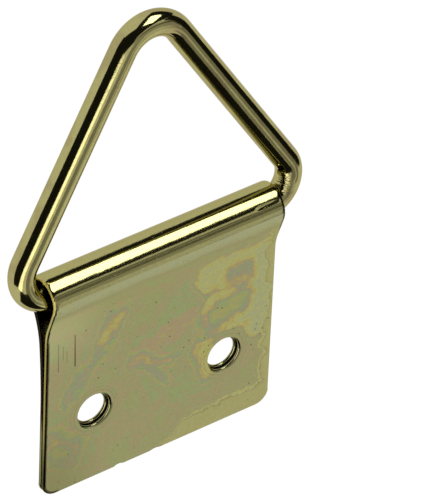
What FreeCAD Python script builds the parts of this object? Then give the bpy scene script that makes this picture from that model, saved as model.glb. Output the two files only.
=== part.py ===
import FreeCAD, Part
import enum
import math
import os

import Sketcher

# Picture hook: a strip of sheet metal folded round the base of a triangular wire ring.
# Millimetres and degrees. X runs along the wire's base, Y from front to back and Z up.
# The origin is midway between the two fixing holes, on the back face of the strap.

SIZES = {
    # The wire ring
    "wire_diameter": 2.0,
    "ring_height": 19.6,          # from the axis of the base to the outside of the apex
    "base_bend_radius": 2.2,      # of the wire's centreline at the two base corners
    "apex_bend_radius": 2.8,      # of the wire's centreline at the apex
    "mouth_clearance": 0.18,      # between the inside of a base corner and the rim of the curl
    "end_gap": 0.3,               # between the wire's cut ends, hidden in the curl
    "ring_lean": 5.9,             # degrees that the ring leans back from the leaves
    # The folded strap
    "sheet_thickness": 0.3,
    "strap_width": 20.2,
    "strap_length": 17.8,         # from the wire's axis down to the bottom edge
    "corner_radius": 1.15,
    "leaf_gap": 0.06,             # between the two leaves where they lie flat
    "curl_clearance": 0.4,        # between the wire and the inside of the curl
    "wire_setback": 0.13,         # of the wire's axis behind the back face
    "front_neck_angle": 18.5,     # degrees by which the front leaf slopes in below the curl
    "front_bend_radius": 4.0,     # of the front face where the slope runs into the flat leaf
    "back_throat_angle": 35.0,    # degrees past level at which the back leaf leaves the curl
    "back_sweep_radius": 56.0,    # of the long sweep that brings the back leaf to the front one
    "back_sweep_height": 5.85,    # of that sweep, above the flat of the back leaf
    # The fixing holes, through both leaves
    "hole_diameter": 2.7,
    "hole_spacing": 11.5,
    "hole_edge_distance": 6.25,   # from the centre of a hole to the bottom edge
}


class Point(enum.IntEnum):
    """Points of a sketch edge."""

    START = 1
    END = 2
    CENTRE = 3


class Axis(enum.IntEnum):
    """The sketch's own axes."""

    LEVEL = -1
    UPRIGHT = -2


ORIGIN = (Axis.LEVEL, Point.START)


def make_sheet(doc):
    """Put the driving dimensions in a spreadsheet, one named cell each."""
    sheet = doc.addObject("Spreadsheet::Sheet", "Sizes")
    for row, (name, value) in enumerate(SIZES.items(), start=1):
        sheet.set(f"A{row}", name)
        sheet.set(f"B{row}", str(value))
        sheet.setAlias(f"B{row}", name)
    doc.recompute()
    return sheet


def make_sketch(body, name, plane):
    """Add a sketch on one of the body's own origin planes."""
    planes = {feature.Role: feature for feature in body.Origin.OriginFeatures}
    sketch = body.newObject("Sketcher::SketchObject", name)
    sketch.AttachmentSupport = [(planes[plane], "")]
    sketch.MapMode = "FlatFace"
    return sketch


def line(start, end):
    """Straight sketch edge between two points."""
    return Part.LineSegment(FreeCAD.Vector(*start), FreeCAD.Vector(*end))


def arc(centre, radius, start_angle, end_angle):
    """Sketch arc, counter-clockwise from one angle in degrees to the other."""
    circle = Part.Circle(FreeCAD.Vector(*centre), FreeCAD.Vector(0, 0, 1), radius)
    return Part.ArcOfCircle(circle, math.radians(start_angle), math.radians(end_angle))


def on_arc(centre, radius, angle):
    """Point of a circle at an angle in degrees."""
    turn = math.radians(angle)
    return (centre[0] + radius * math.cos(turn), centre[1] + radius * math.sin(turn))


def dimension(sketch, kind, places, formula):
    """Add one dimension to a sketch and bind it to a formula of the sheet."""
    number = sketch.addConstraint(Sketcher.Constraint(kind, *places, measured(sketch, kind, places)))
    sketch.setExpression(f"Constraints[{number}]", formula)


def measured(sketch, kind, places):
    """Present value of a dimension, which the bound formula then drives."""
    if kind == "Radius":
        return sketch.Geometry[places[0]].Radius
    if kind == "Diameter":
        return 2 * sketch.Geometry[places[0]].Radius
    if kind == "Angle":
        edge = sketch.Geometry[places[0]]
        return math.atan2(edge.EndPoint.y - edge.StartPoint.y, edge.EndPoint.x - edge.StartPoint.x)
    step = sketch.getPoint(*places[2:4]) - sketch.getPoint(*places[0:2])
    return step.x if kind == "DistanceX" else step.y


def join_smoothly(sketch, joints):
    """Make edges meet end to end without a kink."""
    for joint in joints:
        sketch.addConstraint(Sketcher.Constraint("Tangent", *joint))


def strap_fold_line(sizes):
    """Inside line of the folded sheet, from the front leaf's foot over the curl to the back leaf's foot."""
    curl_radius = sizes.wire_diameter / 2 + sizes.curl_clearance
    axis = (sizes.wire_setback, sizes.strap_length - sizes.hole_edge_distance)
    foot = -sizes.hole_edge_distance
    back = -sizes.sheet_thickness
    front = back - sizes.leaf_gap
    neck = sizes.front_neck_angle
    throat = sizes.back_throat_angle

    front_radius = sizes.front_bend_radius + sizes.sheet_thickness
    neck_top = on_arc(axis, curl_radius, 180 + neck)
    slope_reach = front - neck_top[0] - front_radius * (1 - math.cos(math.radians(neck)))
    slope_drop = slope_reach / math.tan(math.radians(neck))
    slope_foot = (neck_top[0] + slope_reach, neck_top[1] - slope_drop)
    front_centre = on_arc(slope_foot, front_radius, 180 + neck)

    sweep_radius = sizes.back_sweep_radius + sizes.sheet_thickness
    sweep_angle = math.degrees(math.asin(sizes.back_sweep_height / sweep_radius))
    throat_top = on_arc(axis, curl_radius, -throat)
    sweep_reach = sweep_radius * (1 - math.cos(math.radians(sweep_angle)))
    turn_share = math.cos(math.radians(sweep_angle)) - math.cos(math.radians(throat))
    throat_radius = (throat_top[0] - back - sweep_reach) / turn_share
    throat_centre = on_arc(throat_top, throat_radius, -throat)
    sweep_top = on_arc(throat_centre, throat_radius, 180 - sweep_angle)
    sweep_centre = on_arc(sweep_top, sweep_radius, -sweep_angle)

    return [
        line((front, foot), (front, front_centre[1])),
        arc(front_centre, front_radius, 0, neck),
        line(slope_foot, neck_top),
        arc(axis, curl_radius, -throat, 180 + neck),
        arc(throat_centre, throat_radius, 180 - throat, 180 - sweep_angle),
        arc(sweep_centre, sweep_radius, 180 - sweep_angle, 180),
        line((back, sweep_centre[1]), (back, foot)),
    ]


def make_strap(doc, sizes):
    """Folded strap: the fold line given its thickness, extruded across, pierced and rounded off."""
    body = doc.addObject("PartDesign::Body", "Strap")
    body.Label = "folded_strap"

    fold = make_sketch(body, "FoldLine", "YZ_Plane")
    front_leaf, front_bend, slope, curl, throat, sweep, back_leaf = fold.addGeometry(strap_fold_line(sizes))
    join_smoothly(fold, [
        (front_leaf, Point.END, front_bend, Point.START),
        (front_bend, Point.END, slope, Point.START),
        (slope, Point.END, curl, Point.END),
        (curl, Point.START, throat, Point.START),
        (throat, Point.END, sweep, Point.START),
        (sweep, Point.END, back_leaf, Point.START),
    ])
    fold.addConstraint([Sketcher.Constraint("Vertical", leaf) for leaf in (front_leaf, back_leaf)])
    dimension(fold, "DistanceX", (*ORIGIN, front_leaf, Point.START),
              "-Sizes.sheet_thickness - Sizes.leaf_gap")
    dimension(fold, "DistanceX", (*ORIGIN, back_leaf, Point.END), "-Sizes.sheet_thickness")
    dimension(fold, "DistanceY", (*ORIGIN, front_leaf, Point.START), "-Sizes.hole_edge_distance")
    dimension(fold, "DistanceY", (*ORIGIN, back_leaf, Point.END), "-Sizes.hole_edge_distance")
    dimension(fold, "DistanceX", (*ORIGIN, curl, Point.CENTRE), "Sizes.wire_setback")
    dimension(fold, "DistanceY", (*ORIGIN, curl, Point.CENTRE),
              "Sizes.strap_length - Sizes.hole_edge_distance")
    dimension(fold, "Radius", (curl,), "Sizes.wire_diameter / 2 + Sizes.curl_clearance")
    dimension(fold, "Radius", (front_bend,), "Sizes.front_bend_radius + Sizes.sheet_thickness")
    dimension(fold, "Angle", (slope,), "90 + Sizes.front_neck_angle")
    dimension(fold, "DistanceY", (curl, Point.START, curl, Point.CENTRE),
              "(Sizes.wire_diameter / 2 + Sizes.curl_clearance) * sin(Sizes.back_throat_angle * 1 deg)")
    dimension(fold, "Radius", (sweep,), "Sizes.back_sweep_radius + Sizes.sheet_thickness")
    dimension(fold, "DistanceY", (sweep, Point.END, sweep, Point.START), "Sizes.back_sweep_height")
    doc.recompute()

    section = body.newObject("PartDesign::SubShapeBinder", "SheetSection")
    section.Support = [(fold, "")]
    section.OffsetFill = True
    section.OffsetOpenResult = True
    section.setExpression("Offset", "-Sizes.sheet_thickness")
    doc.recompute()

    folded = body.newObject("PartDesign::Pad", "FoldedSheet")
    folded.Profile = section
    folded.Midplane = True
    folded.setExpression("Length", "Sizes.strap_width")
    doc.recompute()

    holes = make_sketch(body, "HoleCentres", "XZ_Plane")
    for side in (-1, 1):
        centre = FreeCAD.Vector(side * sizes.hole_spacing / 2, 0, 0)
        hole = holes.addGeometry(Part.Circle(centre, FreeCAD.Vector(0, 0, 1), sizes.hole_diameter / 2))
        dimension(holes, "Diameter", (hole,), "Sizes.hole_diameter")
        dimension(holes, "DistanceX", (*ORIGIN, hole, Point.CENTRE), f"{side} * Sizes.hole_spacing / 2")
        holes.addConstraint(Sketcher.Constraint("PointOnObject", hole, Point.CENTRE, Axis.LEVEL))
    pierced = body.newObject("PartDesign::Pocket", "FixingHoles")
    pierced.Profile = holes
    pierced.Type = "ThroughAll"
    pierced.Midplane = True
    doc.recompute()
    if pierced.Shape.Volume >= folded.Shape.Volume:
        raise RuntimeError("the fixing holes cut nothing")

    rounded = body.newObject("PartDesign::Fillet", "BottomCorners")
    rounded.Base = (pierced, bottom_corner_edges(pierced.Shape))
    rounded.setExpression("Radius", "Sizes.corner_radius")
    doc.recompute()
    return body


def bottom_corner_edges(shape):
    """Names of the short edges through the sheet at the bottom corners of both leaves."""
    box = shape.BoundBox
    near = 0.001
    names = []
    for number, edge in enumerate(shape.Edges, start=1):
        span = edge.BoundBox
        at_foot = span.ZMax < box.ZMin + near
        at_side = min(abs(span.XMax - box.XMin), abs(span.XMin - box.XMax)) < near
        if at_foot and at_side:
            names.append(f"Edge{number}")
    return names


def ring_centreline(sizes):
    """Centreline of the wire, from the right cut end round the apex to the left one.

    The base corners start to bend just inside the curl, as far in as their clearance at its rim allows.
    """
    corner_radius = sizes.base_bend_radius
    inside_radius = corner_radius - sizes.wire_diameter / 2
    rim_height = inside_radius - sizes.curl_clearance + sizes.mouth_clearance
    base_half = sizes.strap_width / 2 - math.sqrt(inside_radius ** 2 - rim_height ** 2)
    apex_radius = sizes.apex_bend_radius
    apex = (0, sizes.ring_height - sizes.wire_diameter / 2 - apex_radius)
    right = (base_half, corner_radius)
    left = (-base_half, corner_radius)
    reach = math.hypot(base_half, apex[1] - corner_radius)
    rise = math.degrees(math.atan2(apex[1] - corner_radius, -base_half))
    normal = rise - math.degrees(math.acos((corner_radius - apex_radius) / reach))
    return [
        line((sizes.end_gap / 2, 0), (base_half, 0)),
        arc(right, corner_radius, -90, normal),
        line(on_arc(right, corner_radius, normal), on_arc(apex, apex_radius, normal)),
        arc(apex, apex_radius, normal, 180 - normal),
        line(on_arc(apex, apex_radius, 180 - normal), on_arc(left, corner_radius, 180 - normal)),
        arc(left, corner_radius, 180 - normal, 270),
        line((-base_half, 0), (-sizes.end_gap / 2, 0)),
    ]


def make_ring(doc, sizes):
    """Triangular ring: a round section swept along the bent wire's centreline, then leaned back."""
    body = doc.addObject("PartDesign::Body", "Ring")
    body.Label = "triangle_ring"

    path = make_sketch(body, "Centreline", "XZ_Plane")
    edges = path.addGeometry(ring_centreline(sizes))
    right_base, right_corner, _, apex, _, left_corner, left_base = edges
    join_smoothly(path, [(edge, Point.END, after, Point.START) for edge, after in zip(edges, edges[1:])])
    for base, cut_end, side in ((right_base, Point.START, 1), (left_base, Point.END, -1)):
        path.addConstraint(Sketcher.Constraint("Horizontal", base))
        path.addConstraint(Sketcher.Constraint("PointOnObject", base, cut_end, Axis.LEVEL))
        dimension(path, "DistanceX", (*ORIGIN, base, cut_end), f"{side} * Sizes.end_gap / 2")
    inside_radius = "(Sizes.base_bend_radius - Sizes.wire_diameter / 2)"
    rim_height = f"({inside_radius} - Sizes.curl_clearance + Sizes.mouth_clearance)"
    base_half = f"(Sizes.strap_width / 2 - sqrt({inside_radius} ^ 2 - {rim_height} ^ 2))"
    for corner, side in ((right_corner, 1), (left_corner, -1)):
        dimension(path, "Radius", (corner,), "Sizes.base_bend_radius")
        dimension(path, "DistanceX", (*ORIGIN, corner, Point.CENTRE), f"{side} * {base_half}")
    dimension(path, "Radius", (apex,), "Sizes.apex_bend_radius")
    path.addConstraint(Sketcher.Constraint("PointOnObject", apex, Point.CENTRE, Axis.UPRIGHT))
    dimension(path, "DistanceY", (*ORIGIN, apex, Point.CENTRE),
              "Sizes.ring_height - Sizes.wire_diameter / 2 - Sizes.apex_bend_radius")

    section = make_sketch(body, "WireSection", "YZ_Plane")
    section.setExpression("AttachmentOffset.Base.z", "Sizes.end_gap / 2")
    outline = Part.Circle(FreeCAD.Vector(), FreeCAD.Vector(0, 0, 1), sizes.wire_diameter / 2)
    round_wire = section.addGeometry(outline)
    section.addConstraint(Sketcher.Constraint("Coincident", round_wire, Point.CENTRE, *ORIGIN))
    dimension(section, "Diameter", (round_wire,), "Sizes.wire_diameter")
    doc.recompute()

    wire = body.newObject("PartDesign::AdditivePipe", "BentWire")
    wire.Profile = section
    wire.Spine = path
    body.Placement.Rotation = FreeCAD.Rotation(FreeCAD.Vector(1, 0, 0), -sizes.ring_lean)
    body.setExpression("Placement.Base.y", "Sizes.wire_setback")
    body.setExpression("Placement.Base.z", "Sizes.strap_length - Sizes.hole_edge_distance")
    body.setExpression("Placement.Rotation.Angle", "-Sizes.ring_lean")
    doc.recompute()
    return body


def check(doc, bodies):
    """Stop if anything failed to build.

    Sketches are solved again here, because a sketch that can't meet its dimensions keeps its old form.
    """
    for item in doc.Objects:
        if "Invalid" in item.State or "Error" in item.State:
            raise RuntimeError(f"{item.Label} failed: {item.State}")
        if item.TypeId == "Sketcher::SketchObject" and item.solve() != 0:
            raise RuntimeError(f"{item.Label} can't meet its dimensions")
    for body in bodies:
        if body.Shape.isNull() or not body.Shape.isValid():
            raise RuntimeError(f"{body.Label} has no valid shape")


def main():
    """Build both pieces and write one file for each."""
    doc = FreeCAD.newDocument("PictureHook")
    sizes = make_sheet(doc)
    bodies = [make_strap(doc, sizes), make_ring(doc, sizes)]
    check(doc, bodies)
    os.makedirs("parts", exist_ok=True)
    for body in bodies:
        body.Shape.exportStep(f"parts/{body.Label}.step")


main()
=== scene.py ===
"""Picture hook: a folded sheet strap and the loose wire ring that swings in its curl."""

import logging
import math
from dataclasses import dataclass
from enum import Enum
from typing import Callable, Optional, Sequence, Union

import bmesh
import bpy
from mathutils import Matrix, Vector


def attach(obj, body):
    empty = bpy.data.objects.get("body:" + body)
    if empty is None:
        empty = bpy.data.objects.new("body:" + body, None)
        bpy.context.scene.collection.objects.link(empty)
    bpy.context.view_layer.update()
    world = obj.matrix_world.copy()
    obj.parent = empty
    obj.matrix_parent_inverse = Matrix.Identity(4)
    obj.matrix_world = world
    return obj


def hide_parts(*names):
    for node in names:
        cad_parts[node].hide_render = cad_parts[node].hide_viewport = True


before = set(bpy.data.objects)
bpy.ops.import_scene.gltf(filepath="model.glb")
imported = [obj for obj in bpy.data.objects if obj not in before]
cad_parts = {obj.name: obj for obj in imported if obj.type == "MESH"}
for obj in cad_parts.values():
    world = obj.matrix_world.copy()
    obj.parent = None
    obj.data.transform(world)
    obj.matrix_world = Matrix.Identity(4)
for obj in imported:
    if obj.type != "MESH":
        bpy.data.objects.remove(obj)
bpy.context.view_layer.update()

LOG = logging.getLogger("picture_hook")
MM = 0.001
# Metres within which two places count as one, and within which a point lies on a face.
TOUCH = 1e-6
CLOSE = 2e-5
WHITE = (1.0, 1.0, 1.0, 1.0)
Socket = bpy.types.NodeSocket
Value = Union[float, Sequence[float], Socket]
Fade = tuple[float, float]


class Body(Enum):
    """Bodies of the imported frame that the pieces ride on."""

    STRAP = "strap"
    RING = "ring"


class Slot(Enum):
    """Material slots of the record."""

    SHEET = "strap_sheet"
    WIRE = "ring_wire"


class Glow(Enum):
    """What a studio card shows in the metal: a lamp's face, a pale or grey wall, or nothing at all."""

    LAMP = 5.0
    SOFT_LAMP = 2.8
    LIGHT = 0.80
    PALE = 0.48
    GREY = 0.36
    DIM = 0.14
    BLACK = 0.015


class NodeDesk:
    """Lays out and joins the nodes of one material."""

    edge_tint = (222, 218, 200)

    def __init__(self, name: str) -> None:
        """Start a material with a shader and an output.

        Args:
            name: Name of the material.
        """
        self.material = bpy.data.materials.new(name)
        self.material.use_nodes = True
        self.tree = self.material.node_tree
        self.shader = self.tree.nodes["Principled BSDF"]

    def node(self, kind: str, **settings: object) -> bpy.types.Node:
        """Add a node.

        Args:
            kind: Blender's name of the node type.
            settings: Properties to set on it.

        Returns:
            The node.
        """
        made = self.tree.nodes.new(kind)
        for name, value in settings.items():
            setattr(made, name, value)
        return made

    def feed(self, socket: Socket, value: Value) -> None:
        """Link a socket to another one, or set it.

        Args:
            socket: Input to feed.
            value: Output socket, number or tuple.
        """
        if isinstance(value, Socket):
            self.tree.links.new(value, socket)
        else:
            socket.default_value = value

    def math(self, operation: str, *values: Value) -> Socket:
        """Join numbers with a Math node.

        Args:
            operation: Name of the operation.
            values: Its inputs.

        Returns:
            The result.
        """
        made = self.node("ShaderNodeMath", operation=operation)
        for socket, value in zip(made.inputs, values):
            self.feed(socket, value)
        return made.outputs[0]

    def vector(self, operation: str, *values: Value) -> Socket:
        """Join vectors with a Vector Math node.

        Args:
            operation: Name of the operation.
            values: Its inputs, with a scale as the last one where it takes one.

        Returns:
            The result, a number for a distance and a vector otherwise.
        """
        made = self.node("ShaderNodeVectorMath", operation=operation)
        sockets = [made.inputs[0], made.inputs["Scale"]] if operation == "SCALE" else made.inputs
        for socket, value in zip(sockets, values):
            self.feed(socket, value)
        return made.outputs["Value" if operation in ("DISTANCE", "DOT_PRODUCT") else "Vector"]

    def millimetres(self, stretch: Sequence[float] = (1.0, 1.0, 1.0)) -> Socket:
        """Object coordinates in millimetres.

        Args:
            stretch: Factors along X, Y and Z.

        Returns:
            The coordinates.
        """
        place = self.node("ShaderNodeTexCoord").outputs["Object"]
        return self.vector("MULTIPLY", place, [factor / MM for factor in stretch])

    def noise(self, place: Value, scale: float, detail: float = 2.0, colour: bool = False,
              distortion: float = 0.0) -> Socket:
        """Cloudy noise.

        Args:
            place: Coordinates.
            scale: Features to the millimetre.
            detail: Number of finer layers.
            colour: Whether three noises come out instead of one.
            distortion: How much the noise is swirled.

        Returns:
            The noise, from 0 to 1.
        """
        made = self.node("ShaderNodeTexNoise")
        self.feed(made.inputs["Vector"], place)
        made.inputs["Scale"].default_value = scale
        made.inputs["Detail"].default_value = detail
        made.inputs["Distortion"].default_value = distortion
        return made.outputs["Color" if colour else "Fac"]

    def remap(self, value: Value, old: Sequence[float], new: Sequence[float]) -> Socket:
        """Carry a number smoothly from one range to another.

        Args:
            value: The number.
            old: Range that it comes in.
            new: Range that it leaves in.

        Returns:
            The carried number.
        """
        made = self.node("ShaderNodeMapRange", interpolation_type="SMOOTHSTEP")
        for socket, number in zip(made.inputs, (value, *old, *new)):
            self.feed(socket, number)
        return made.outputs[0]

    def fade(self, value: Value, ends: Fade, share: float = 1.0) -> Socket:
        """Rise smoothly from nothing at the first end to a share at the second."""
        return self.remap(value, ends, (0.0, share))

    def product(self, first: Value, *others: Value) -> Value:
        """Multiply numbers.

        Args:
            first: The first number.
            others: The numbers that it is multiplied by.

        Returns:
            The product.
        """
        for other in others:
            first = self.math("MULTIPLY", first, other)
        return first

    def split(self, place: Value) -> tuple[Socket, ...]:
        """Take coordinates apart.

        Args:
            place: The coordinates.

        Returns:
            X, Y and Z.
        """
        made = self.node("ShaderNodeSeparateXYZ")
        self.feed(made.inputs[0], place)
        return tuple(made.outputs)

    def ramp(self, value: Value, stops: Sequence[tuple]) -> Socket:
        """Turn a number into a colour.

        Args:
            value: The number, from 0 to 1.
            stops: Pairs of position and colour.

        Returns:
            The colour.
        """
        made = self.node("ShaderNodeValToRGB")
        self.feed(made.inputs[0], value)
        elements = made.color_ramp.elements
        while len(elements) < len(stops):
            elements.new(0.5)
        for element, (position, colour) in zip(elements, stops):
            element.position = position
            element.color = colour
        return made.outputs[0]

    def blend(self, factor: Value, first: Value, second: Value) -> Socket:
        """Mix two colours.

        Args:
            factor: Share of the second one.
            first: First colour.
            second: Second colour.

        Returns:
            The mixed colour.
        """
        made = self.node("ShaderNodeMix", data_type="RGBA")
        colours = [socket for socket in made.inputs if socket.type == "RGBA"]
        self.feed(made.inputs[0], factor)
        self.feed(colours[0], first)
        self.feed(colours[1], second)
        return [socket for socket in made.outputs if socket.type == "RGBA"][0]

    def bump(self, height: Value, depth: float, below: Value = None) -> Socket:
        """Raise the surface by a height.

        Args:
            height: Height from 0 to 1.
            depth: Millimetres that a height of 1 stands for.
            below: Normal of a bump underneath, if any.

        Returns:
            The bent normal.
        """
        made = self.node("ShaderNodeBump")
        made.inputs["Distance"].default_value = depth * MM
        self.feed(made.inputs["Height"], height)
        if below is not None:
            self.feed(made.inputs["Normal"], below)
        return made.outputs[0]

    def metal(self, colour: Value, roughness: Value, normal: Value) -> bpy.types.Material:
        """Finish the shader as bare metal.

        Args:
            colour: Colour of what it mirrors.
            roughness: Blur of what it mirrors.
            normal: Bent normal.

        Returns:
            The finished material.
        """
        self.shader.inputs["Metallic"].default_value = 1.0
        self.shader.inputs["Specular IOR Level"].default_value = 0.0
        self.shader.inputs["Specular Tint"].default_value = linear(*self.edge_tint)
        self.feed(self.shader.inputs["Base Color"], colour)
        self.feed(self.shader.inputs["Roughness"], roughness)
        self.feed(self.shader.inputs["Normal"], normal)
        return self.material


def linear(red: float, green: float, blue: float) -> tuple[float, ...]:
    """Colour written from 0 to 255 as the shader counts it.

    Args:
        red: Red part.
        green: Green part.
        blue: Blue part.

    Returns:
        The linear colour, opaque.
    """
    return (*(((part / 255 + 0.055) / 1.055) ** 2.4 for part in (red, green, blue)), 1.0)


@dataclass(frozen=True)
class Run:
    """A straight run across the leaves where the film changes, with its level there and its two widths."""

    start: tuple
    end: tuple
    core: float
    reach: float
    level: float


@dataclass(frozen=True)
class Zone:
    """A part of the sheet that fades in along each axis it names, from the first place to the second."""

    share: float
    x: Optional[Fade] = None
    y: Optional[Fade] = None
    z: Optional[Fade] = None
    top: Optional[Fade] = None


class LeafDesk(NodeDesk):
    """Desk of a finish on the sheet, with the coordinates that its marks are laid out by."""

    apart_stretch = (1.0, 6.0, 1.0)
    without_depth = (1.0, 0.0, 1.0)

    def __init__(self, name: str) -> None:
        """Start the material and its coordinates: plain, differing on the two leaves, and without depth.

        Args:
            name: Name of the material.
        """
        super().__init__(name)
        self.place = self.millimetres()
        self.apart = self.millimetres(self.apart_stretch)
        self.level = self.vector("MULTIPLY", self.place, self.without_depth)
        self.x, self.y, self.z = self.split(self.place)

    def off(self, place: Socket, run: Run) -> Socket:
        """Distance from a run.

        Args:
            place: Coordinates without depth.
            run: The run.

        Returns:
            The distance, in millimetres.
        """
        start = Vector((run.start[0], 0.0, run.start[1]))
        whole = Vector((run.end[0], 0.0, run.end[1])) - start
        way = self.vector("SUBTRACT", place, start)
        along = self.vector("DOT_PRODUCT", way, whole / whole.length_squared)
        held = self.node("ShaderNodeClamp")
        self.feed(held.inputs[0], along)
        return self.vector("DISTANCE", way, self.vector("SCALE", tuple(whole), held.outputs[0]))

    def inside(self, zone: Zone) -> Socket:
        """Mask of a zone.

        Args:
            zone: The zone.

        Returns:
            The mask, from 0 to the zone's share.
        """
        ends = ((self.x, zone.x), (self.y, zone.y), (self.z, zone.z), (self.z, zone.top))
        return self.product(zone.share, *(self.fade(axis, fade) for axis, fade in ends if fade))


@dataclass(frozen=True)
class FilmFinish:
    """Yellow film on the sheet, whose thickness shows as pale bands of colour, with painted shade, painted
    highlights and painted reflections laid over it.
    """

    name: str = "yellow_film"
    plain: tuple = (169, 163, 107)
    haze: tuple = (160, 163, 124)
    # painted shade along the crease of the fold
    painted_crease_shade: tuple = (145, 145, 104)
    speck: tuple = (130, 126, 82)
    pit: tuple = (72, 66, 42)
    scratch: tuple = (58, 52, 32)
    halo: tuple = (118, 106, 66)
    # painted shade: the lower left of the leaves darker, for a dimmer reflection there
    shade: tuple = (122, 118, 76)
    # painted reflection: the upper left of the leaves, below the fold, lighter
    gleam: tuple = (187, 182, 132)
    # painted shade: near black, for the dark reflections along the left edge, the back leaf's rim and the curl's
    # right end
    painted_dark: tuple = (34, 30, 20)
    # painted highlight: a bright gold line on the left rims of the curl and of the front leaf
    painted_rim_highlight: tuple = (207, 190, 98)
    orders: tuple = (
        (0.00, (166, 162, 108)),
        (0.07, (163, 158, 104)),
        (0.11, (145, 136, 84)),
        (0.15, (161, 164, 121)),
        (0.20, (169, 168, 111)),
        (0.26, (171, 166, 99)),
        (0.31, (169, 156, 95)),
        (0.36, (160, 144, 108)),
        (0.42, (143, 146, 117)),
        (0.48, (144, 155, 105)),
        (0.54, (159, 156, 98)),
        (0.60, (163, 143, 112)),
        (0.68, (143, 156, 104)),
        (0.78, (158, 146, 108)),
        (0.88, (149, 153, 104)),
        (1.00, (155, 150, 104)),
    )
    basins: tuple = (
        Run((4.8, 7.9), (8.4, 7.6), 1.2, 3.2, 0.20),
        Run((5.2, 4.3), (7.6, 3.9), 1.2, 3.2, 0.18),
        Run((8.7, 8.2), (8.6, 1.6), 0.3, 2.4, 0.15),
        Run((3.9, 1.6), (4.6, -0.8), 0.3, 2.6, 0.26),
        Run((-2.4, 3.1), (1.2, 1.7), 0.0, 1.9, 0.34),
        Run((-2.2, 3.0), (0.6, -0.2), 0.0, 1.7, 0.42),
        Run((-1.6, 3.6), (3.4, 5.0), 0.5, 3.0, 0.59),
        Run((2.4, 7.3), (0.8, 5.9), 0.7, 2.2, 0.67),
        Run((0.2, 0.4), (1.8, -1.2), 0.5, 2.6, 0.66),
        Run((-3.9, 7.9), (-5.0, 6.3), 0.0, 2.8, 0.28),
        Run((-5.0, 6.3), (-6.3, 3.9), 0.0, 2.6, 0.42),
        Run((-6.3, 3.9), (-8.3, 1.9), 0.0, 2.4, 0.40),
        Run((-9.1, -1.7), (-7.9, -3.2), 0.3, 3.4, 0.34),
    )
    swells: tuple = (
        Run((6.2, 7.3), (7.5, 7.0), 0.0, 1.5, 0.24),
        Run((4.9, 3.9), (6.9, 4.5), 0.3, 1.7, 0.34),
        Run((-8.9, -2.2), (-8.2, -3.0), 0.0, 1.0, 0.22),
    )
    scratches: tuple = (
        Run((-7.62, 7.7), (-7.55, 4.9), 0.02, 0.07, 0.85),
        Run((-9.05, 7.5), (-9.0, 5.0), 0.0, 0.06, 0.45),
        Run((-8.62, 7.1), (-8.60, 5.9), 0.0, 0.05, 0.35),
        Run((-8.30, 6.6), (-8.27, 5.6), 0.0, 0.05, 0.30),
    )
    halos: tuple = ((1.78, 0.07, 0.30), (2.06, 0.06, 0.22))
    front_leaf: Zone = Zone(1.0, y=(-0.35, -0.55))
    # where the painted shade falls: the lower left of the leaves
    shaded: Zone = Zone(0.5, x=(-4.0, -9.4), z=(3.0, -6.0))
    # where the painted reflection lies: the upper left of the leaves, below the fold
    gleaming: Zone = Zone(0.42, x=(-4.0, -9.4), z=(4.5, 8.5), top=(10.6, 9.6))
    # zones of the painted dark reflections
    left_line: Zone = Zone(0.8, x=(-8.5, -9.0), y=(-0.35, -0.55), z=(9.0, 7.0))
    back_rim: Zone = Zone(1.0, x=(-9.82, -9.95), y=(-0.36, -0.33), z=(-1.5, 1.5), top=(10.7, 10.4))
    right_mouth: Zone = Zone(0.9, x=(9.79, 9.88), y=(-0.4, -0.8), z=(9.7, 10.3))
    # zones of the painted highlight on the left rims
    curl_rim: Zone = Zone(1.0, x=(-9.97, -10.04), z=(10.7, 11.2))
    front_rim: Zone = Zone(0.45, x=(-9.97, -10.04), y=(-0.33, -0.36), z=(-4.5, 0.5))
    hole_x: float = 5.75
    hole_clear: Fade = (1.5, 1.8)
    corner: tuple = (8.95, 0.0, 5.1)
    corner_reach: Fade = (0.84, 0.93)
    swirl: float = 2.6
    soften: float = 0.10
    thinnest: float = 0.155
    worn: float = 0.04
    edge_x: Fade = (8.3, 9.7)
    foot_z: Fade = (-7.1, -5.7)
    foot_step: Fade = (-0.6, 2.2)
    crease_z: float = 10.95
    cloud: float = 0.32
    cloud_z: Fade = (9.2, 7.8)
    cloud_x: Fade = (9.75, 9.4)
    scatter: float = 0.8

    def thickness(self, desk: LeafDesk) -> Socket:
        """Lay out how thick the film is over the leaves.

        Args:
            desk: Desk of the film's material.

        Returns:
            The thickness, from 0 to 1.
        """
        swirl = desk.vector("SUBTRACT", desk.noise(desk.apart, 0.55, 5.0, colour=True), (0.5, 0.5, 0.5))
        bent = desk.vector("ADD", desk.place, desk.vector("SCALE", swirl, self.swirl))
        across = desk.vector("MULTIPLY", bent, desk.without_depth)
        thickness = desk.math("MULTIPLY_ADD", desk.noise(desk.apart, 0.27, 2.5), 0.80, 0.42)
        for basin in self.basins:
            rise = desk.remap(desk.off(across, basin), (basin.core, basin.reach), (basin.level, 1.0))
            thickness = desk.math("SMOOTH_MIN", thickness, rise, self.soften)
        for swell in self.swells:
            bulge = desk.remap(desk.off(across, swell), (swell.core, swell.reach), (swell.level, 0.0))
            thickness = desk.math("ADD", thickness, bulge)
        ragged = desk.noise(desk.millimetres((1.0, 6.0, 2.2)), 1.3, 4.0)
        thickness = desk.math("ADD", thickness, desk.math("MULTIPLY_ADD", ragged, 0.30, -0.15))
        thickness = desk.math("MAXIMUM", thickness, self.thinnest)
        x, _, z = desk.split(bent)
        edge = desk.remap(x, self.edge_x, (1.0, self.worn))
        rake = desk.math("MULTIPLY_ADD", x, -0.10, z)
        rake = desk.math("SUBTRACT", rake, desk.fade(x, self.foot_step, 1.8))
        foot = desk.remap(rake, self.foot_z, (self.worn, 1.0))
        return desk.math("MINIMUM", desk.math("MINIMUM", thickness, edge), foot)

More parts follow.
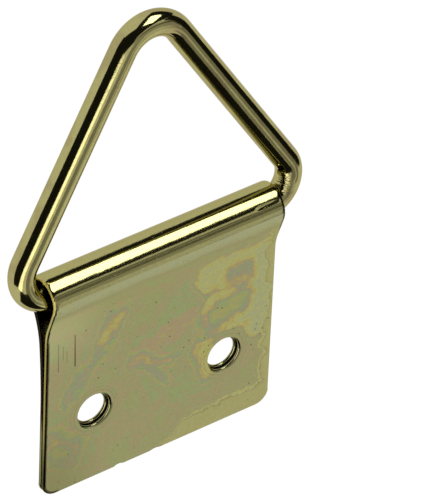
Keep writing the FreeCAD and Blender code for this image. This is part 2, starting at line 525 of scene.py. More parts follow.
    def banded(self, desk: LeafDesk, colour: Value) -> Socket:
        """Lay the fold's bands over the film: a haze, a line of painted shade along the crease and the plain top
        of the curl.

        Args:
            desk: Desk of the film's material.
            colour: Colour of the film.

        Returns:
            The colour with the bands.
        """
        drift = desk.math("MULTIPLY_ADD", desk.noise(desk.apart, 0.3, 2.0), 0.8, desk.z)
        colour = desk.blend(desk.fade(drift, (10.9, 11.6), 0.85), colour, linear(*self.haze))
        # painted shade in a line along the crease
        away = desk.math("ABSOLUTE", desk.math("SUBTRACT", drift, self.crease_z))
        colour = desk.blend(desk.fade(away, (0.30, 0.0), 0.7), colour, linear(*self.painted_crease_shade))
        return desk.blend(desk.fade(drift, (11.8, 12.5)), colour, linear(*self.plain))

    def pitted(self, desk: LeafDesk) -> Socket:
        """Scatter the pits, which keep to parts of the leaves.

        Args:
            desk: Desk of the film's material.

        Returns:
            The mask of the pits.
        """
        cells = desk.node("ShaderNodeTexVoronoi", feature="F1")
        desk.feed(cells.inputs["Vector"], desk.apart)
        cells.inputs["Scale"].default_value = 1.4
        where = desk.fade(desk.noise(desk.apart, 0.3, 1.0), (0.46, 0.62))
        return desk.product(desk.fade(cells.outputs["Distance"], (0.12, 0.05)), where)

    def scratched(self, desk: LeafDesk) -> Socket:
        """Draw the scratches of the front leaf.

        Args:
            desk: Desk of the film's material.

        Returns:
            The mask of the scratches.
        """
        scratch = 0.0
        for line in self.scratches:
            mark = desk.remap(desk.off(desk.level, line), (line.core, line.reach), (line.level, 0.0))
            scratch = desk.math("MAXIMUM", scratch, mark)
        return desk.product(scratch, desk.inside(self.front_leaf))

    def from_holes(self, desk: LeafDesk) -> list[Socket]:
        """Distances from the middles of the two holes, in millimetres."""
        return [desk.vector("DISTANCE", desk.level, (hole, 0.0, 0.0)) for hole in (-self.hole_x, self.hole_x)]

    def ringed(self, desk: LeafDesk, colour: Value) -> Socket:
        """Draw the faint rings that the punch left round the holes.

        Args:
            desk: Desk of the film's material.
            colour: Colour of the film.

        Returns:
            The colour with the rings.
        """
        for away in self.from_holes(desk):
            for radius, width, share in self.halos:
                off = desk.math("ABSOLUTE", desk.math("SUBTRACT", away, radius))
                colour = desk.blend(desk.fade(off, (width, 0.0), share), colour, linear(*self.halo))
        return colour

    def painted_dark_lines(self, desk: LeafDesk) -> Socket:
        """Draw the painted dark reflections: lines inside the left edge and its corner, on the back leaf's rim
        and at the curl's end.

        Args:
            desk: Desk of the film's material.

        Returns:
            The mask of the lines.
        """
        middle = (0.0, 0.0, 0.0)
        past = desk.vector("MINIMUM", desk.vector("ADD", desk.level, self.corner), middle)
        line = desk.fade(desk.vector("DISTANCE", past, middle), self.corner_reach)
        line = desk.product(line, desk.inside(self.left_line))
        ends = desk.math("MAXIMUM", desk.inside(self.back_rim), desk.inside(self.right_mouth))
        return desk.math("MAXIMUM", ends, line)

    def clear(self, desk: LeafDesk) -> Socket:
        """Lay out how clear the film is: cloudy on the flat of the leaves, clear on every bend and edge.

        Args:
            desk: Desk of the film's material.

        Returns:
            The share that mirrors as bare metal does.
        """
        cloud = desk.fade(desk.math("ABSOLUTE", desk.x), self.cloud_x)
        cloud = desk.product(cloud, desk.fade(desk.z, self.cloud_z, self.cloud))
        for away in self.from_holes(desk):
            cloud = desk.product(cloud, desk.fade(away, self.hole_clear))
        return desk.math("SUBTRACT", 1.0, cloud)

    def make(self) -> bpy.types.Material:
        """Build the film.

        Returns:
            The material.
        """
        desk = LeafDesk(self.name)
        orders = [(position, linear(*colour)) for position, colour in self.orders]
        colour = self.banded(desk, desk.ramp(self.thickness(desk), orders))
        grain = desk.noise(desk.place, 7.0, 4.0)
        colour = desk.blend(desk.fade(grain, (0.35, 0.7), 0.26), colour, linear(*self.speck))
        pit, scratch = self.pitted(desk), self.scratched(desk)
        colour = desk.blend(desk.product(pit, 0.75), colour, linear(*self.pit))
        colour = self.ringed(desk, desk.blend(scratch, colour, linear(*self.scratch)))
        # painted shade on the lower left of the leaves
        colour = desk.blend(desk.inside(self.shaded), colour, linear(*self.shade))
        # painted reflection on the upper left of the leaves, below the fold
        colour = desk.blend(desk.inside(self.gleaming), colour, linear(*self.gleam))
        # painted dark reflections along the left edge, the back leaf's rim and the curl's right end
        colour = desk.blend(self.painted_dark_lines(desk), colour, linear(*self.painted_dark))
        # painted highlight on the left rims, which mostly scatter light instead of mirroring it
        painted_rim_highlight = desk.math("MAXIMUM", desk.inside(self.curl_rim), desk.inside(self.front_rim))
        colour = desk.blend(painted_rim_highlight, colour, linear(*self.painted_rim_highlight))
        waves = desk.bump(desk.noise(desk.place, 0.45, 2.0), 0.02)
        fine = desk.bump(desk.noise(desk.place, 9.0, 2.0), 0.0015, waves)
        marks = desk.bump(desk.math("SUBTRACT", 1.0, desk.math("ADD", pit, scratch)), 0.008, fine)
        mirror = desk.math("MULTIPLY_ADD", painted_rim_highlight, -self.scatter, 1.0)
        desk.feed(desk.shader.inputs["Metallic"], desk.math("MINIMUM", self.clear(desk), mirror))
        return desk.metal(colour, desk.math("MULTIPLY_ADD", grain, 0.10, 0.05), marks)


@dataclass(frozen=True)
class ShearedFinish:
    """Dark cut edge of the sheet, as the shears tore it."""

    name: str = "sheared_edge"
    colour: tuple = (74, 64, 40)
    shade: tuple = (36, 31, 20)

    def make(self) -> bpy.types.Material:
        """Build the cut edge.

        Returns:
            The material.
        """
        desk = NodeDesk(self.name)
        place = desk.millimetres()
        tear = desk.noise(place, 3.2, 4.0)
        colour = desk.blend(desk.fade(tear, (0.38, 0.66), 0.8), linear(*self.colour), linear(*self.shade))
        normal = desk.bump(desk.noise(place, 7.0, 3.0), 0.012)
        return desk.metal(colour, desk.math("MULTIPLY_ADD", tear, 0.2, 0.22), normal)


@dataclass(frozen=True)
class WireFinish:
    """Bright drawn wire with the same yellow film, and the marks of the tool that gripped it."""

    name: str = "bright_wire"
    colour: tuple = (171, 165, 110)
    tint: tuple = (161, 151, 103)
    shade: tuple = (128, 120, 74)
    grip: tuple = (10.85, -0.35, 13.25)
    grip_reach: Fade = (0.9, 0.3)
    rib_stretch: tuple = (2.0, 2.0, 7.0)
    rib_depth: float = 0.09

    def make(self) -> bpy.types.Material:
        """Build the wire's finish.

        Returns:
            The material.
        """
        desk = NodeDesk(self.name)
        place = desk.millimetres()
        tint = desk.fade(desk.noise(place, 0.5, 2.0, distortion=0.6), (0.4, 0.65))
        colour = desk.blend(tint, linear(*self.colour), linear(*self.tint))
        grain = desk.noise(place, 6.0, 3.0)
        colour = desk.blend(desk.fade(grain, (0.4, 0.75), 0.2), colour, linear(*self.shade))
        ripple = desk.bump(desk.noise(place, 1.6, 3.0), 0.006)
        fine = desk.bump(desk.noise(place, 8.0, 2.0), 0.0012, ripple)
        ribs = desk.noise(desk.millimetres(self.rib_stretch), 1.0, 3.0)
        held = desk.fade(desk.vector("DISTANCE", place, self.grip), self.grip_reach)
        normal = desk.bump(desk.product(ribs, held), self.rib_depth, fine)
        return desk.metal(colour, desk.math("MULTIPLY_ADD", grain, 0.08, 0.045), normal)


class Bench:
    """A piece on the bench, worked by hand in edit mode."""

    def __init__(self, name: str) -> None:
        """Clear the selection and keep the piece's name.

        Args:
            name: Name that the finished piece gets.
        """
        bpy.ops.object.select_all(action="DESELECT")
        self.name = name
        self.piece: bpy.types.Object = None

    def take(self) -> None:
        """Take up the primitive that was just added, in edit mode."""
        self.piece = bpy.context.object
        self.piece.name = self.name
        self.piece.data.name = self.name
        bpy.ops.object.mode_set(mode="EDIT")
        bpy.ops.mesh.select_mode(type="VERT")

    def pull(self, step: Sequence[float], times: int = 1) -> None:
        """Extrude what is selected.

        Args:
            step: Whole way, in metres.
            times: Number of steps that it is pulled in.
        """
        part = [way / times for way in step]
        for _ in range(times):
            bpy.ops.mesh.extrude_region_move(TRANSFORM_OT_translate={"value": part})

    def turn(self, centre: Sequence[float], axis: Sequence[float], angle: float, steps: int) -> None:
        """Extrude what is selected round an axis, by the right-hand rule; spin itself turns the other way.

        Args:
            centre: Point of the axis.
            axis: Direction of the axis.
            angle: Turn in radians.
            steps: Number of steps.
        """
        bpy.ops.mesh.spin(steps=steps, angle=-angle, center=centre, axis=axis)

    def pick(self, kind: str, test: Callable[[Vector], bool]) -> None:
        """Select elements by place and nothing else.

        Args:
            kind: VERT, EDGE or FACE.
            test: Says whether an element at that middle point is wanted.
        """
        bpy.ops.mesh.select_mode(type=kind)
        bpy.ops.mesh.select_all(action="DESELECT")
        mesh = bmesh.from_edit_mesh(self.piece.data)
        for element in {"VERT": mesh.verts, "EDGE": mesh.edges, "FACE": mesh.faces}[kind]:
            if kind == "VERT":
                middle = element.co
            else:
                middle = sum((vertex.co for vertex in element.verts), Vector()) / len(element.verts)
            if test(middle):
                element.select_set(True)
        mesh.select_flush_mode()
        bmesh.update_edit_mesh(self.piece.data)

    def press(self, test: Callable[[Vector], bool], way: Sequence[float], reach: float) -> None:
        """Move the points that are picked and draw their neighbours along.

        Args:
            test: Says whether a point is picked.
            way: How far it moves, in metres.
            reach: How far off its neighbours still follow, in metres.
        """
        self.pick("VERT", test)
        bpy.ops.transform.translate(value=way, use_proportional_edit=True, proportional_edit_falloff="SMOOTH",
                                    proportional_size=reach, use_proportional_connected=True)

    def apply(self, kind: str, **settings: object) -> None:
        """Add a modifier and apply it.

        Args:
            kind: Type of the modifier.
            settings: Its properties.
        """
        bpy.ops.object.mode_set(mode="OBJECT")
        modifier = self.piece.modifiers.new(kind.lower(), kind)
        for name, value in settings.items():
            setattr(modifier, name, value)
        bpy.ops.object.modifier_apply(modifier=modifier.name)

    def smooth(self, degrees: float = 40.0) -> None:
        """Leave edit mode and shade smooth below an angle.

        Args:
            degrees: The angle.
        """
        bpy.ops.object.mode_set(mode="OBJECT")
        bpy.ops.object.shade_smooth_by_angle(angle=math.radians(degrees))

    def settle(self) -> None:
        """Put the piece's place into its mesh."""
        bpy.ops.object.mode_set(mode="OBJECT")
        bpy.ops.object.transform_apply(location=True, rotation=True, scale=True)


@dataclass
class TriangleRing:
    """Round wire bent into a triangle, loose in the strap's curl."""

    name: str = "wire_ring"
    wire_radius: float = 1.0 * MM
    axis_y: float = 0.13 * MM
    axis_z: float = 11.55 * MM
    base_half: float = 9.4075 * MM
    base_bend: float = 2.2 * MM
    apex_bend: float = 2.8 * MM
    apex_height: float = 15.8 * MM
    leg_normal: float = math.radians(32.6)
    lean: float = math.radians(5.9)
    end_gap: float = 0.3 * MM
    sides: int = 56
    bend_steps: int = 40
    base_steps: int = 6
    leg_steps: int = 12

    def build(self) -> bpy.types.Object:
        """Model the wire along its line, then lean it and set it on its axis.

        Returns:
            The ring.
        """
        bench = Bench(self.name)
        start = self.end_gap / 2
        bpy.ops.mesh.primitive_circle_add(vertices=self.sides, radius=self.wire_radius,
                                          location=(start, 0, 0), rotation=(0, math.pi / 2, 0))
        bench.take()
        bench.settle()
        bpy.ops.object.mode_set(mode="EDIT")
        bpy.ops.mesh.select_all(action="SELECT")
        rise = self.apex_height - self.base_bend
        change = self.apex_bend - self.base_bend
        run = self.base_half - change * math.cos(self.leg_normal)
        climb = rise + change * math.sin(self.leg_normal)
        corner = math.pi / 2 + self.leg_normal
        back = (0.0, -1.0, 0.0)
        bench.pull((self.base_half - start, 0, 0), self.base_steps)
        bench.turn((self.base_half, 0, self.base_bend), back, corner, self.bend_steps)
        bench.pull((-run, 0, climb), self.leg_steps)
        bench.turn((0, 0, self.apex_height), back, math.pi - 2 * self.leg_normal, self.bend_steps)
        bench.pull((-run, 0, -climb), self.leg_steps)
        bench.turn((-self.base_half, 0, self.base_bend), back, corner, self.bend_steps)
        bench.pull((self.base_half - start, 0, 0), self.base_steps)
        bpy.ops.mesh.edge_face_add()
        bench.pick("EDGE", lambda middle: abs(middle.x - start) < TOUCH)
        bpy.ops.mesh.edge_face_add()
        bpy.ops.mesh.select_all(action="SELECT")
        bpy.ops.mesh.normals_make_consistent(inside=False)
        bpy.ops.object.mode_set(mode="OBJECT")
        bench.piece.rotation_euler.x = -self.lean
        bench.piece.location = (0, self.axis_y, self.axis_z)
        bench.settle()
        bench.smooth()
        return bench.piece

    def dress(self, piece: bpy.types.Object) -> None:
        """Give the ring its finish and its place in the frame.

        Args:
            piece: The modelled ring.
        """
        piece.data.materials.append(WireFinish().make())
        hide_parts("triangle_ring")
        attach(piece, Body.RING.value)
        LOG.info("%s: %d faces", piece.name, len(piece.data.polygons))


@dataclass(frozen=True)
class Dent:
    """A dent in the front of the curl, between two places across it and two angles round it."""

    left: float
    right: float
    low: float
    high: float
    depth: float
    reach: float


@dataclass
class FoldedStrap:
    """Strip of sheet folded double, with a curl for the wire and two holes through both leaves."""

    name: str = "sheet_strap"
    half_width: float = 10.1 * MM
    thickness: float = 0.27 * MM
    foot: float = -6.25 * MM
    front_face: float = -0.66 * MM
    back_face: float = 0.0
    axis_y: float = 0.13 * MM
    axis_z: float = 11.55 * MM
    curl_radius: float = 1.7 * MM
    front_angle: float = math.radians(18.5)
    front_bend: float = 4.0 * MM
    back_angle: float = math.radians(35.0)
    sweep_radius: float = 56.0 * MM
    sweep_height: float = 5.85 * MM
    corner: float = 1.15 * MM
    hole_radius: float = 1.35 * MM
    hole_x: float = 5.75 * MM
    patch: float = 2.2 * MM
    patch_cells: int = 16
    ring_share: float = 0.9
    rim_share: float = 0.95
    back_hole_radius: float = 1.2 * MM
    roll: float = 0.12 * MM
    border: float = 0.22 * MM
    support: float = 0.18 * MM
    droop: float = 0.05 * MM
    crease_angle: float = math.radians(30.5)
    crease_depth: float = 0.012 * MM
    crease_reach: float = 0.16 * MM
    end_cell: float = 1.25 * MM
    row_step: float = 0.7 * MM
    row_room: float = 0.2 * MM
    row_limit: int = 20
    middle_cells: int = 12
    bend_steps: int = 14
    slope_steps: int = 6
    curl_steps: int = 120
    throat_steps: int = 20
    roll_steps: int = 4
    corner_steps: int = 10
    nicks: tuple = ((-3.40 * MM, 0.11 * MM), (-0.16 * MM, 0.07 * MM))
    nick_half: float = 0.2 * MM
    nick_reach: float = 0.25 * MM
    dimple_x: float = -9.1 * MM
    dimple_z: float = 10.45 * MM
    dimple_depth: float = 0.03 * MM
    dimple_reach: float = 0.3 * MM
    dents: tuple = (
        Dent(7.9 * MM, 8.9 * MM, math.radians(38), math.radians(45), 0.022 * MM, 0.14 * MM),
        Dent(-6.35 * MM, -5.85 * MM, math.radians(46), math.radians(51), 0.004 * MM, 0.25 * MM),
    )
    burr_angle: float = math.radians(78)
    burr_half: float = math.radians(3)
    burr_rise: float = 0.05 * MM
    burr_reach: float = 0.15 * MM

    @property
    def wrap(self) -> float:
        """Angle that the curl turns through, in radians."""
        return math.pi + self.front_angle + self.back_angle

    def columns(self) -> list[float]:
        """Places across the width where the sheet's lines run, from left to right.

        Returns:
            The places, in metres.
        """
        margin = self.half_width - self.end_cell
        inner, outer = self.hole_x - self.patch, self.hole_x + self.patch
        cell = (outer - inner) / self.patch_cells
        right = [outer + (margin - outer) * step / 2 for step in (1, 2)] + [self.half_width]
        patch = [inner + cell * step for step in range(self.patch_cells + 1)]
        middle = [inner * step / self.middle_cells for step in range(1, self.middle_cells)]
        half = middle + patch + right
        return [-place for place in reversed(half)] + [0.0] + half

    def rows(self, top: float) -> list[float]:
        """Heights where the sheet's lines run on a flat leaf, from the foot up.

        Args:
            top: Height at which the flat ends.

        Returns:
            The heights, in metres.
        """
        cell = 2 * self.patch / self.patch_cells
        patch = [-self.patch + cell * step for step in range(self.patch_cells + 1)]
        above = self.foot + self.end_cell
        low = [self.foot, above, (above - self.patch) / 2]
        heights = (patch[-1] + self.row_step * step for step in range(1, self.row_limit))
        high = [height for height in heights if height < top - self.row_room]
        return low + patch + high + [top]

    def sheet(self, bench: Bench) -> None:
        """Pull a line across the width along the fold, from the front foot to the back foot.

        Args:
            bench: The bench with one vertex of the front foot.
        """
        columns = self.columns()
        for here, there in zip(columns, columns[1:]):
            bench.pull((there - here, 0, 0))
        bpy.ops.mesh.select_all(action="SELECT")
        leave_y = self.axis_y - self.curl_radius * math.cos(self.front_angle)
        leave_z = self.axis_z - self.curl_radius * math.sin(self.front_angle)
        bend_y = self.front_face - self.front_bend * (1 - math.cos(self.front_angle))
        slope = (bend_y - leave_y) / math.tan(self.front_angle)
        front_top = leave_z - slope - self.front_bend * math.sin(self.front_angle)
        rows = self.rows(front_top)
        for here, there in zip(rows, rows[1:]):
            bench.pull((0, 0, there - here))
        right = (1.0, 0.0, 0.0)
        left = (-1.0, 0.0, 0.0)
        bench.turn((0, self.front_face - self.front_bend, front_top), right, self.front_angle, self.bend_steps)
        bench.pull((0, leave_y - bend_y, slope), self.slope_steps)
        bench.turn((0, self.axis_y, self.axis_z), left, self.wrap, self.curl_steps)
        sweep = math.asin(self.sweep_height / self.sweep_radius)
        part_y = self.axis_y + self.curl_radius * math.cos(self.back_angle)
        part_z = self.axis_z - self.curl_radius * math.sin(self.back_angle)
        reach = self.back_face + self.sweep_radius * (1 - math.cos(sweep))
        throat = (part_y - reach) / (math.cos(sweep) - math.cos(self.back_angle))
        throat_y = part_y + throat * math.cos(self.back_angle)
        throat_z = part_z - throat * math.sin(self.back_angle)
        bench.turn((0, throat_y, throat_z), right, self.back_angle - sweep, self.throat_steps)
        back_top = throat_z + throat * math.sin(sweep) - self.sweep_height
        rows = self.rows(back_top + self.sweep_height)
        for here, there in zip(reversed(rows), reversed(rows[:-1])):
            bench.pull((0, self.lift(there - back_top) - self.lift(here - back_top), there - here))

    def lift(self, height: float) -> float:
        """Depth by which the back leaf's long sweep stands off its flat.

        Args:
            height: Height above the flat, in metres.

        Returns:
            The depth, in metres.
        """
        return self.sweep_radius - math.sqrt(self.sweep_radius ** 2 - max(height, 0.0) ** 2)

    def holes(self, bench: Bench, face: float, radius: float) -> None:
        """Open the two holes of one leaf, each in a patch of the flat.

        Args:
            bench: The bench with the sheet.
            face: Depth of the leaf's outer face.
            radius: Radius of the holes.
        """
        for side in (-1, 1):
            centre = Vector((side * self.hole_x, face, 0))
            reach = self.patch + TOUCH
            ring = self.patch * self.ring_share

            def near(middle: Vector) -> bool:
                """Say whether a point lies on this patch of the leaf."""
                away = middle - centre
                return abs(away.y) < CLOSE and abs(away.x) < reach and abs(away.z) < reach

            def on_border(middle: Vector) -> bool:
                """Say whether an edge belongs to the border of this patch."""
                away = middle - centre
                return near(middle) and max(abs(away.x), abs(away.z)) > self.patch - TOUCH

            def on_rim(middle: Vector) -> bool:
                """Say whether an edge belongs to the circle held off this patch."""
                away = middle - centre
                return abs(away.y - MM) < CLOSE and max(abs(away.x), abs(away.z)) < reach

            bench.pick("FACE", near)
            bpy.ops.mesh.delete(type="FACE")
            held_off = centre + Vector((0, MM, 0))
            bpy.ops.mesh.primitive_circle_add(vertices=4 * self.patch_cells, radius=ring, location=held_off,
                                              rotation=(math.pi / 2, 0, 0))
            bench.pick("EDGE", lambda middle: on_rim(middle) or on_border(middle))
            bpy.ops.mesh.bridge_edge_loops()
            bench.pick("EDGE", on_rim)
            bpy.ops.transform.translate(value=(0, -MM, 0))
            for scale in (self.rim_share, radius / (ring * self.rim_share)):
                bpy.ops.mesh.extrude_region_move()
                bpy.ops.transform.resize(value=(scale, scale, scale), center_override=centre)

    def build(self) -> bpy.types.Object:
        """Model the folded sheet, open its holes, give it its thickness and roll its edges.

        Returns:
            The strap.
        """
        bench = Bench(self.name)
        bpy.ops.mesh.primitive_plane_add(size=MM, location=(0, 0, 0))
        bench.take()
        bpy.ops.mesh.select_all(action="SELECT")
        bpy.ops.mesh.merge(type="CENTER")
        bpy.ops.transform.translate(value=(-self.half_width, self.front_face, self.foot))
        self.sheet(bench)
        bpy.ops.mesh.select_all(action="SELECT")
        bpy.ops.mesh.normals_make_consistent(inside=False)
        self.holes(bench, self.front_face, self.hole_radius)
        self.holes(bench, self.back_face, self.back_hole_radius)
        bench.pick("VERT", lambda place: self.on_side(place) and abs(place.z - self.foot) < TOUCH)
        bpy.ops.mesh.bevel(offset=self.corner, affect="VERTICES", segments=self.corner_steps, profile=0.5)
        self.crease(bench)
        bench.pick("FACE", lambda middle: True)
        for strip in (self.border, self.support):
            bpy.ops.mesh.inset(thickness=strip, use_boundary=True, use_even_offset=True)
        bpy.ops.mesh.select_all(action="SELECT")
        bpy.ops.mesh.normals_make_consistent(inside=False)
        mesh = bmesh.from_edit_mesh(bench.piece.data)
        front = [face for face in mesh.faces if face.calc_center_median().y < self.front_face + CLOSE]
        if sum(face.normal.y for face in front) > 0:
            bpy.ops.mesh.flip_normals()
        bench.pick("VERT", self.on_cut)
        bpy.ops.transform.shrink_fatten(value=-self.droop)
        self.knocks(bench)
        bpy.ops.object.mode_set(mode="OBJECT")
        bench.piece.data.materials.append(FilmFinish().make())
        bench.piece.data.materials.append(ShearedFinish().make())
        bench.apply("SOLIDIFY", thickness=self.thickness, offset=-1.0, use_quality_normals=True,
                    material_offset_rim=1)
        bench.apply("BEVEL", width=self.roll, segments=self.roll_steps, limit_method="ANGLE",
                    angle_limit=math.radians(60), use_clamp_overlap=False, material=0)
        bench.smooth()
        bench.settle()
        return bench.piece

    def on_side(self, place: Vector) -> bool:
        """Say whether a point lies on one of the two long cut edges."""
        return abs(abs(place.x) - self.half_width) < TOUCH

    def on_cut(self, place: Vector) -> bool:
        """Say whether a point lies on a long cut edge or on the rim of a hole.

        Args:
            place: The point.

        Returns:
            Whether it does.
        """
        if self.on_side(place):
            return True
        away = math.hypot(abs(place.x) - self.hole_x, place.z)
        off_rim = min(abs(away - self.hole_radius), abs(away - self.back_hole_radius))
        return place.y < 0.1 * MM and off_rim < 4 * TOUCH

    def turned(self, place: Vector) -> float:
        """Angle of a point of the curl above level at its front.

        Args:
            place: The point.

        Returns:
            The angle, in radians.
        """
        return math.atan2(place.z - self.axis_z, self.axis_y - place.y)

    def knocks(self, bench: Bench) -> None:
        """Press the small marks of wear: nicks of the foot, a dimple by the neck, dents of the curl and a raised
        lip on its left rim.

        Args:
            bench: The bench with the sheet.
        """
        outer = self.front_face + self.droop + TOUCH
        for nick, depth in self.nicks:
            bench.press(lambda place: place.y < outer and abs(place.z - self.foot) < TOUCH
                        and abs(place.x - nick) < self.nick_half, (0, 0, depth), self.nick_reach)
        bench.press(lambda place: place.y < self.front_face and abs(place.x - self.dimple_x) < 0.3 * MM
                    and abs(place.z - self.dimple_z) < 0.07 * MM, (0, self.dimple_depth, 0), self.dimple_reach)
        for dent in self.dents:
            bench.press(lambda place: dent.left < place.x < dent.right and place.z > self.axis_z
                        and dent.low < self.turned(place) < dent.high, (0, dent.depth, -dent.depth), dent.reach)
        bench.press(lambda place: place.x < TOUCH - self.half_width and place.z > self.axis_z
                    and abs(self.turned(place) - self.burr_angle) < self.burr_half,
                    (-self.burr_rise, 0, self.burr_rise), self.burr_reach)

    def crease(self, bench: Bench) -> None:
        """Press the fold's tool line into the front of the curl.

        Args:
            bench: The bench with the sheet.
        """
        inward = Vector((0, math.cos(self.crease_angle), -math.sin(self.crease_angle)))
        half_step = 0.52 * self.wrap / self.curl_steps
        bench.press(lambda place: place.z > self.axis_z
                    and abs(self.turned(place) - self.crease_angle) < half_step,
                    inward * self.crease_depth, self.crease_reach)

    def dress(self, piece: bpy.types.Object) -> None:
        """Give the strap its place in the frame.

        Args:
            piece: The modelled strap.
        """
        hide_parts("folded_strap")
        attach(piece, Body.STRAP.value)
        LOG.info("%s: %d faces", piece.name, len(piece.data.polygons))


@dataclass(frozen=True)
class Card:
    """A flat card of the studio, seen only in the metal."""

    name: str
    azimuth: float
    elevation: float
    width: float
    height: float
    tilt: float
    distance: float
    glow: Glow
    fade: float = 0.06


@dataclass
class Studio:
    """Pale floor, even light, the cards that the metal mirrors, and the camera."""

    floor_z: float = -0.20
    floor_radius: float = 2.0
    floor_colour: tuple = (0.80, 0.80, 0.80, 1.0)
    floor_glow: float = 0.2
    lamp_size: float = 0.25
    lamp_energy: float = 0.12
    lamp_distance: float = 0.5
    lamp_azimuth: float = math.radians(10)
    lamp_elevation: float = math.radians(60)
    middle: Vector = Vector((0, 0, 12 * MM))
    cards: tuple = (
        Card("lamp_overhead", 56.0, 60.8, 42.0, 24.0, -8.0, 0.30, Glow.LAMP),
        Card("lamp_left", -36.5, -11.0, 24.0, 54.0, 25.0, 0.26, Glow.SOFT_LAMP),
        Card("wall_overhead", 50.0, 60.0, 108.0, 58.0, 0.0, 0.36, Glow.BLACK, 0.04),
        Card("wall_high", -32.0, 42.0, 70.0, 60.0, 0.0, 0.36, Glow.BLACK),
        Card("wall_left", -70.0, 8.0, 58.0, 98.0, 0.0, 0.36, Glow.BLACK, 0.04),
        Card("wall_right", 67.0, 4.0, 42.0, 58.0, 0.0, 0.36, Glow.BLACK),
        Card("wall_below", -20.0, -58.0, 52.0, 46.0, 0.0, 0.20, Glow.BLACK),
        Card("ledge_front", 30.0, 14.5, 60.0, 9.0, 0.0, 0.29, Glow.DIM, 0.25),
        Card("wall_front", 26.0, 8.0, 60.0, 48.0, 0.0, 0.30, Glow.PALE, 0.25),
        Card("wall_low_left", 11.0, -24.5, 34.0, 47.0, 0.0, 0.30, Glow.GREY, 0.15),
        Card("wall_low_right", 44.5, -20.0, 19.0, 23.0, 0.0, 0.30, Glow.GREY, 0.15),
        Card("wall_low_middle", 32.0, -18.0, 16.0, 28.0, 0.0, 0.31, Glow.LIGHT, 0.15),
    )
    eye_azimuth: float = math.radians(-37.22)
    eye_elevation: float = math.radians(37.96)
    eye_roll: float = math.radians(2.23)
    eye_distance: float = 395.2 * MM
    eye_target: Vector = Vector((0, 0.13 * MM, 11.40 * MM))
    eye_right: float = 3.875 * MM
    eye_up: float = 0.114 * MM
    lens: float = 402.1
    sensor: float = 36.0

    @staticmethod
    def towards(azimuth: float, elevation: float) -> Vector:
        """Direction from the object, with azimuth from the front to the right.

        Args:
            azimuth: Turn from the front, in radians.
            elevation: Angle above level, in radians.

        Returns:
            The unit direction.
        """
        level = math.cos(elevation)
        return Vector((math.sin(azimuth) * level, -math.cos(azimuth) * level, math.sin(elevation)))

    def face(self, card: Card) -> bpy.types.Material:
        """Face of a card, which fades out towards its edges.

        Args:
            card: The card.

        Returns:
            The material.
        """
        desk = NodeDesk(card.name)
        across, upward, _ = desk.split(desk.node("ShaderNodeTexCoord").outputs["Object"])
        inside = 1.0
        for way in (across, upward):
            edge = desk.math("SUBTRACT", 0.5, desk.math("ABSOLUTE", way))
            inside = desk.product(inside, desk.fade(edge, (0.0, card.fade)))
        shine = desk.node("ShaderNodeEmission")
        shine.inputs["Strength"].default_value = card.glow.value
        clear = desk.node("ShaderNodeBsdfTransparent")
        mixed = desk.node("ShaderNodeMixShader")
        desk.feed(mixed.inputs[0], inside)
        desk.feed(mixed.inputs[1], clear.outputs[0])
        desk.feed(mixed.inputs[2], shine.outputs[0])
        desk.feed(desk.tree.nodes["Material Output"].inputs["Surface"], mixed.outputs[0])
        return desk.material

    def floor(self) -> None:
        """Lay the floor, white to the eye and in the metal, with the shadow left on it."""
        bpy.ops.object.select_all(action="DESELECT")
        bpy.ops.mesh.primitive_circle_add(vertices=96, radius=self.floor_radius, fill_type="NGON",
                                          location=(0, 0, self.floor_z))
        floor = bpy.context.object
        floor.name = "floor"
        desk = NodeDesk("pale_floor")
        desk.shader.inputs["Base Color"].default_value = self.floor_colour
        desk.shader.inputs["Roughness"].default_value = 1.0
        desk.shader.inputs["Specular IOR Level"].default_value = 0.0
        desk.shader.inputs["Emission Color"].default_value = WHITE
        path = desk.node("ShaderNodeLightPath")
        seen = desk.math("MAXIMUM", path.outputs["Is Camera Ray"], path.outputs["Is Glossy Ray"])
        seen = desk.math("MAXIMUM", seen, path.outputs["Is Transmission Ray"])
        desk.feed(desk.shader.inputs["Emission Strength"], desk.product(seen, self.floor_glow))
        floor.data.materials.append(desk.material)

    def hang_cards(self) -> None:
        """Hang the cards round the object, turned to it."""
        for card in self.cards:
            bpy.ops.object.select_all(action="DESELECT")
            way = self.towards(math.radians(card.azimuth), math.radians(card.elevation))
            bpy.ops.mesh.primitive_plane_add(size=1.0, location=self.middle + way * card.distance)
            panel = bpy.context.object
            panel.name = card.name
            facing = (-way).to_track_quat("Z", "Y").to_matrix()
            panel.rotation_euler = (facing @ Matrix.Rotation(math.radians(card.tilt), 3, "Z")).to_euler()
            spread = 2 * card.distance
            panel.scale = (spread * math.tan(math.radians(card.width / 2)),
                           spread * math.tan(math.radians(card.height / 2)), 1.0)
            panel.data.materials.append(self.face(card))
            panel.visible_camera = False
            panel.visible_diffuse = False
            panel.visible_transmission = False
            panel.visible_shadow = False

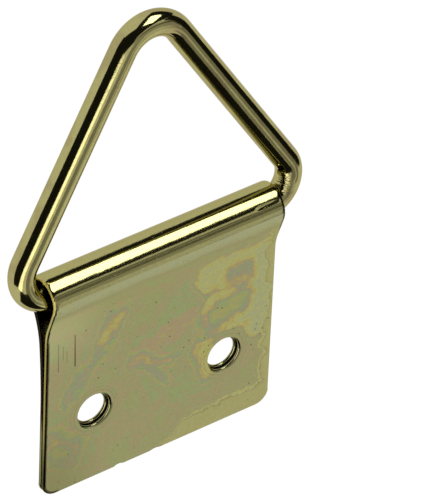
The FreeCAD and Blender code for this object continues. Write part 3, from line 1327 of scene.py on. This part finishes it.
    def light(self) -> None:
        """Light the scene evenly, with one soft lamp above."""
        world = bpy.data.worlds.new("even_light")
        bpy.context.scene.world = world
        world.use_nodes = True
        background = world.node_tree.nodes["Background"]
        background.inputs["Color"].default_value = WHITE
        background.inputs["Strength"].default_value = 1.0
        lamp = bpy.data.lights.new("soft_lamp", "AREA")
        lamp.size = self.lamp_size
        lamp.energy = self.lamp_energy
        holder = bpy.data.objects.new("soft_lamp", lamp)
        way = self.towards(self.lamp_azimuth, self.lamp_elevation)
        holder.location = self.middle + way * self.lamp_distance
        holder.rotation_euler = (holder.location - self.middle).to_track_quat("Z", "Y").to_euler()
        holder.visible_camera = False
        holder.visible_glossy = False
        bpy.context.scene.collection.objects.link(holder)

    def camera(self) -> None:
        """Set the camera at the picture's viewing angle."""
        back = self.towards(self.eye_azimuth, self.eye_elevation)
        level = Vector((math.cos(self.eye_azimuth), math.sin(self.eye_azimuth), 0))
        upright = back.cross(level)
        right = math.cos(self.eye_roll) * level + math.sin(self.eye_roll) * upright
        up = math.cos(self.eye_roll) * upright - math.sin(self.eye_roll) * level
        place = self.eye_target + back * self.eye_distance
        aim = self.eye_target + right * self.eye_right + up * self.eye_up
        out = (place - aim).normalized()
        side = (right - right.dot(out) * out).normalized()
        data = bpy.data.cameras.new("eye")
        data.sensor_fit = "AUTO"
        data.sensor_width = self.sensor
        data.lens = self.lens
        data.clip_start = 0.01
        data.clip_end = 10.0
        eye = bpy.data.objects.new("eye", data)
        eye.matrix_world = Matrix((side, out.cross(side), out)).transposed().to_4x4()
        eye.location = place
        bpy.context.scene.collection.objects.link(eye)
        bpy.context.scene.camera = eye

    def set_up(self) -> None:
        """Build the whole studio."""
        self.floor()
        self.hang_cards()
        self.light()
        self.camera()
        bpy.context.scene.view_settings.view_transform = "Standard"
        LOG.info("studio: %d cards", len(self.cards))


def main() -> None:
    """Build the hook and its studio."""
    logging.basicConfig(level=logging.INFO, format="%(name)s %(message)s")
    for assembly in (TriangleRing(), FoldedStrap()):
        assembly.dress(assembly.build())
    Studio().set_up()


if __name__ == "__main__":
    main()
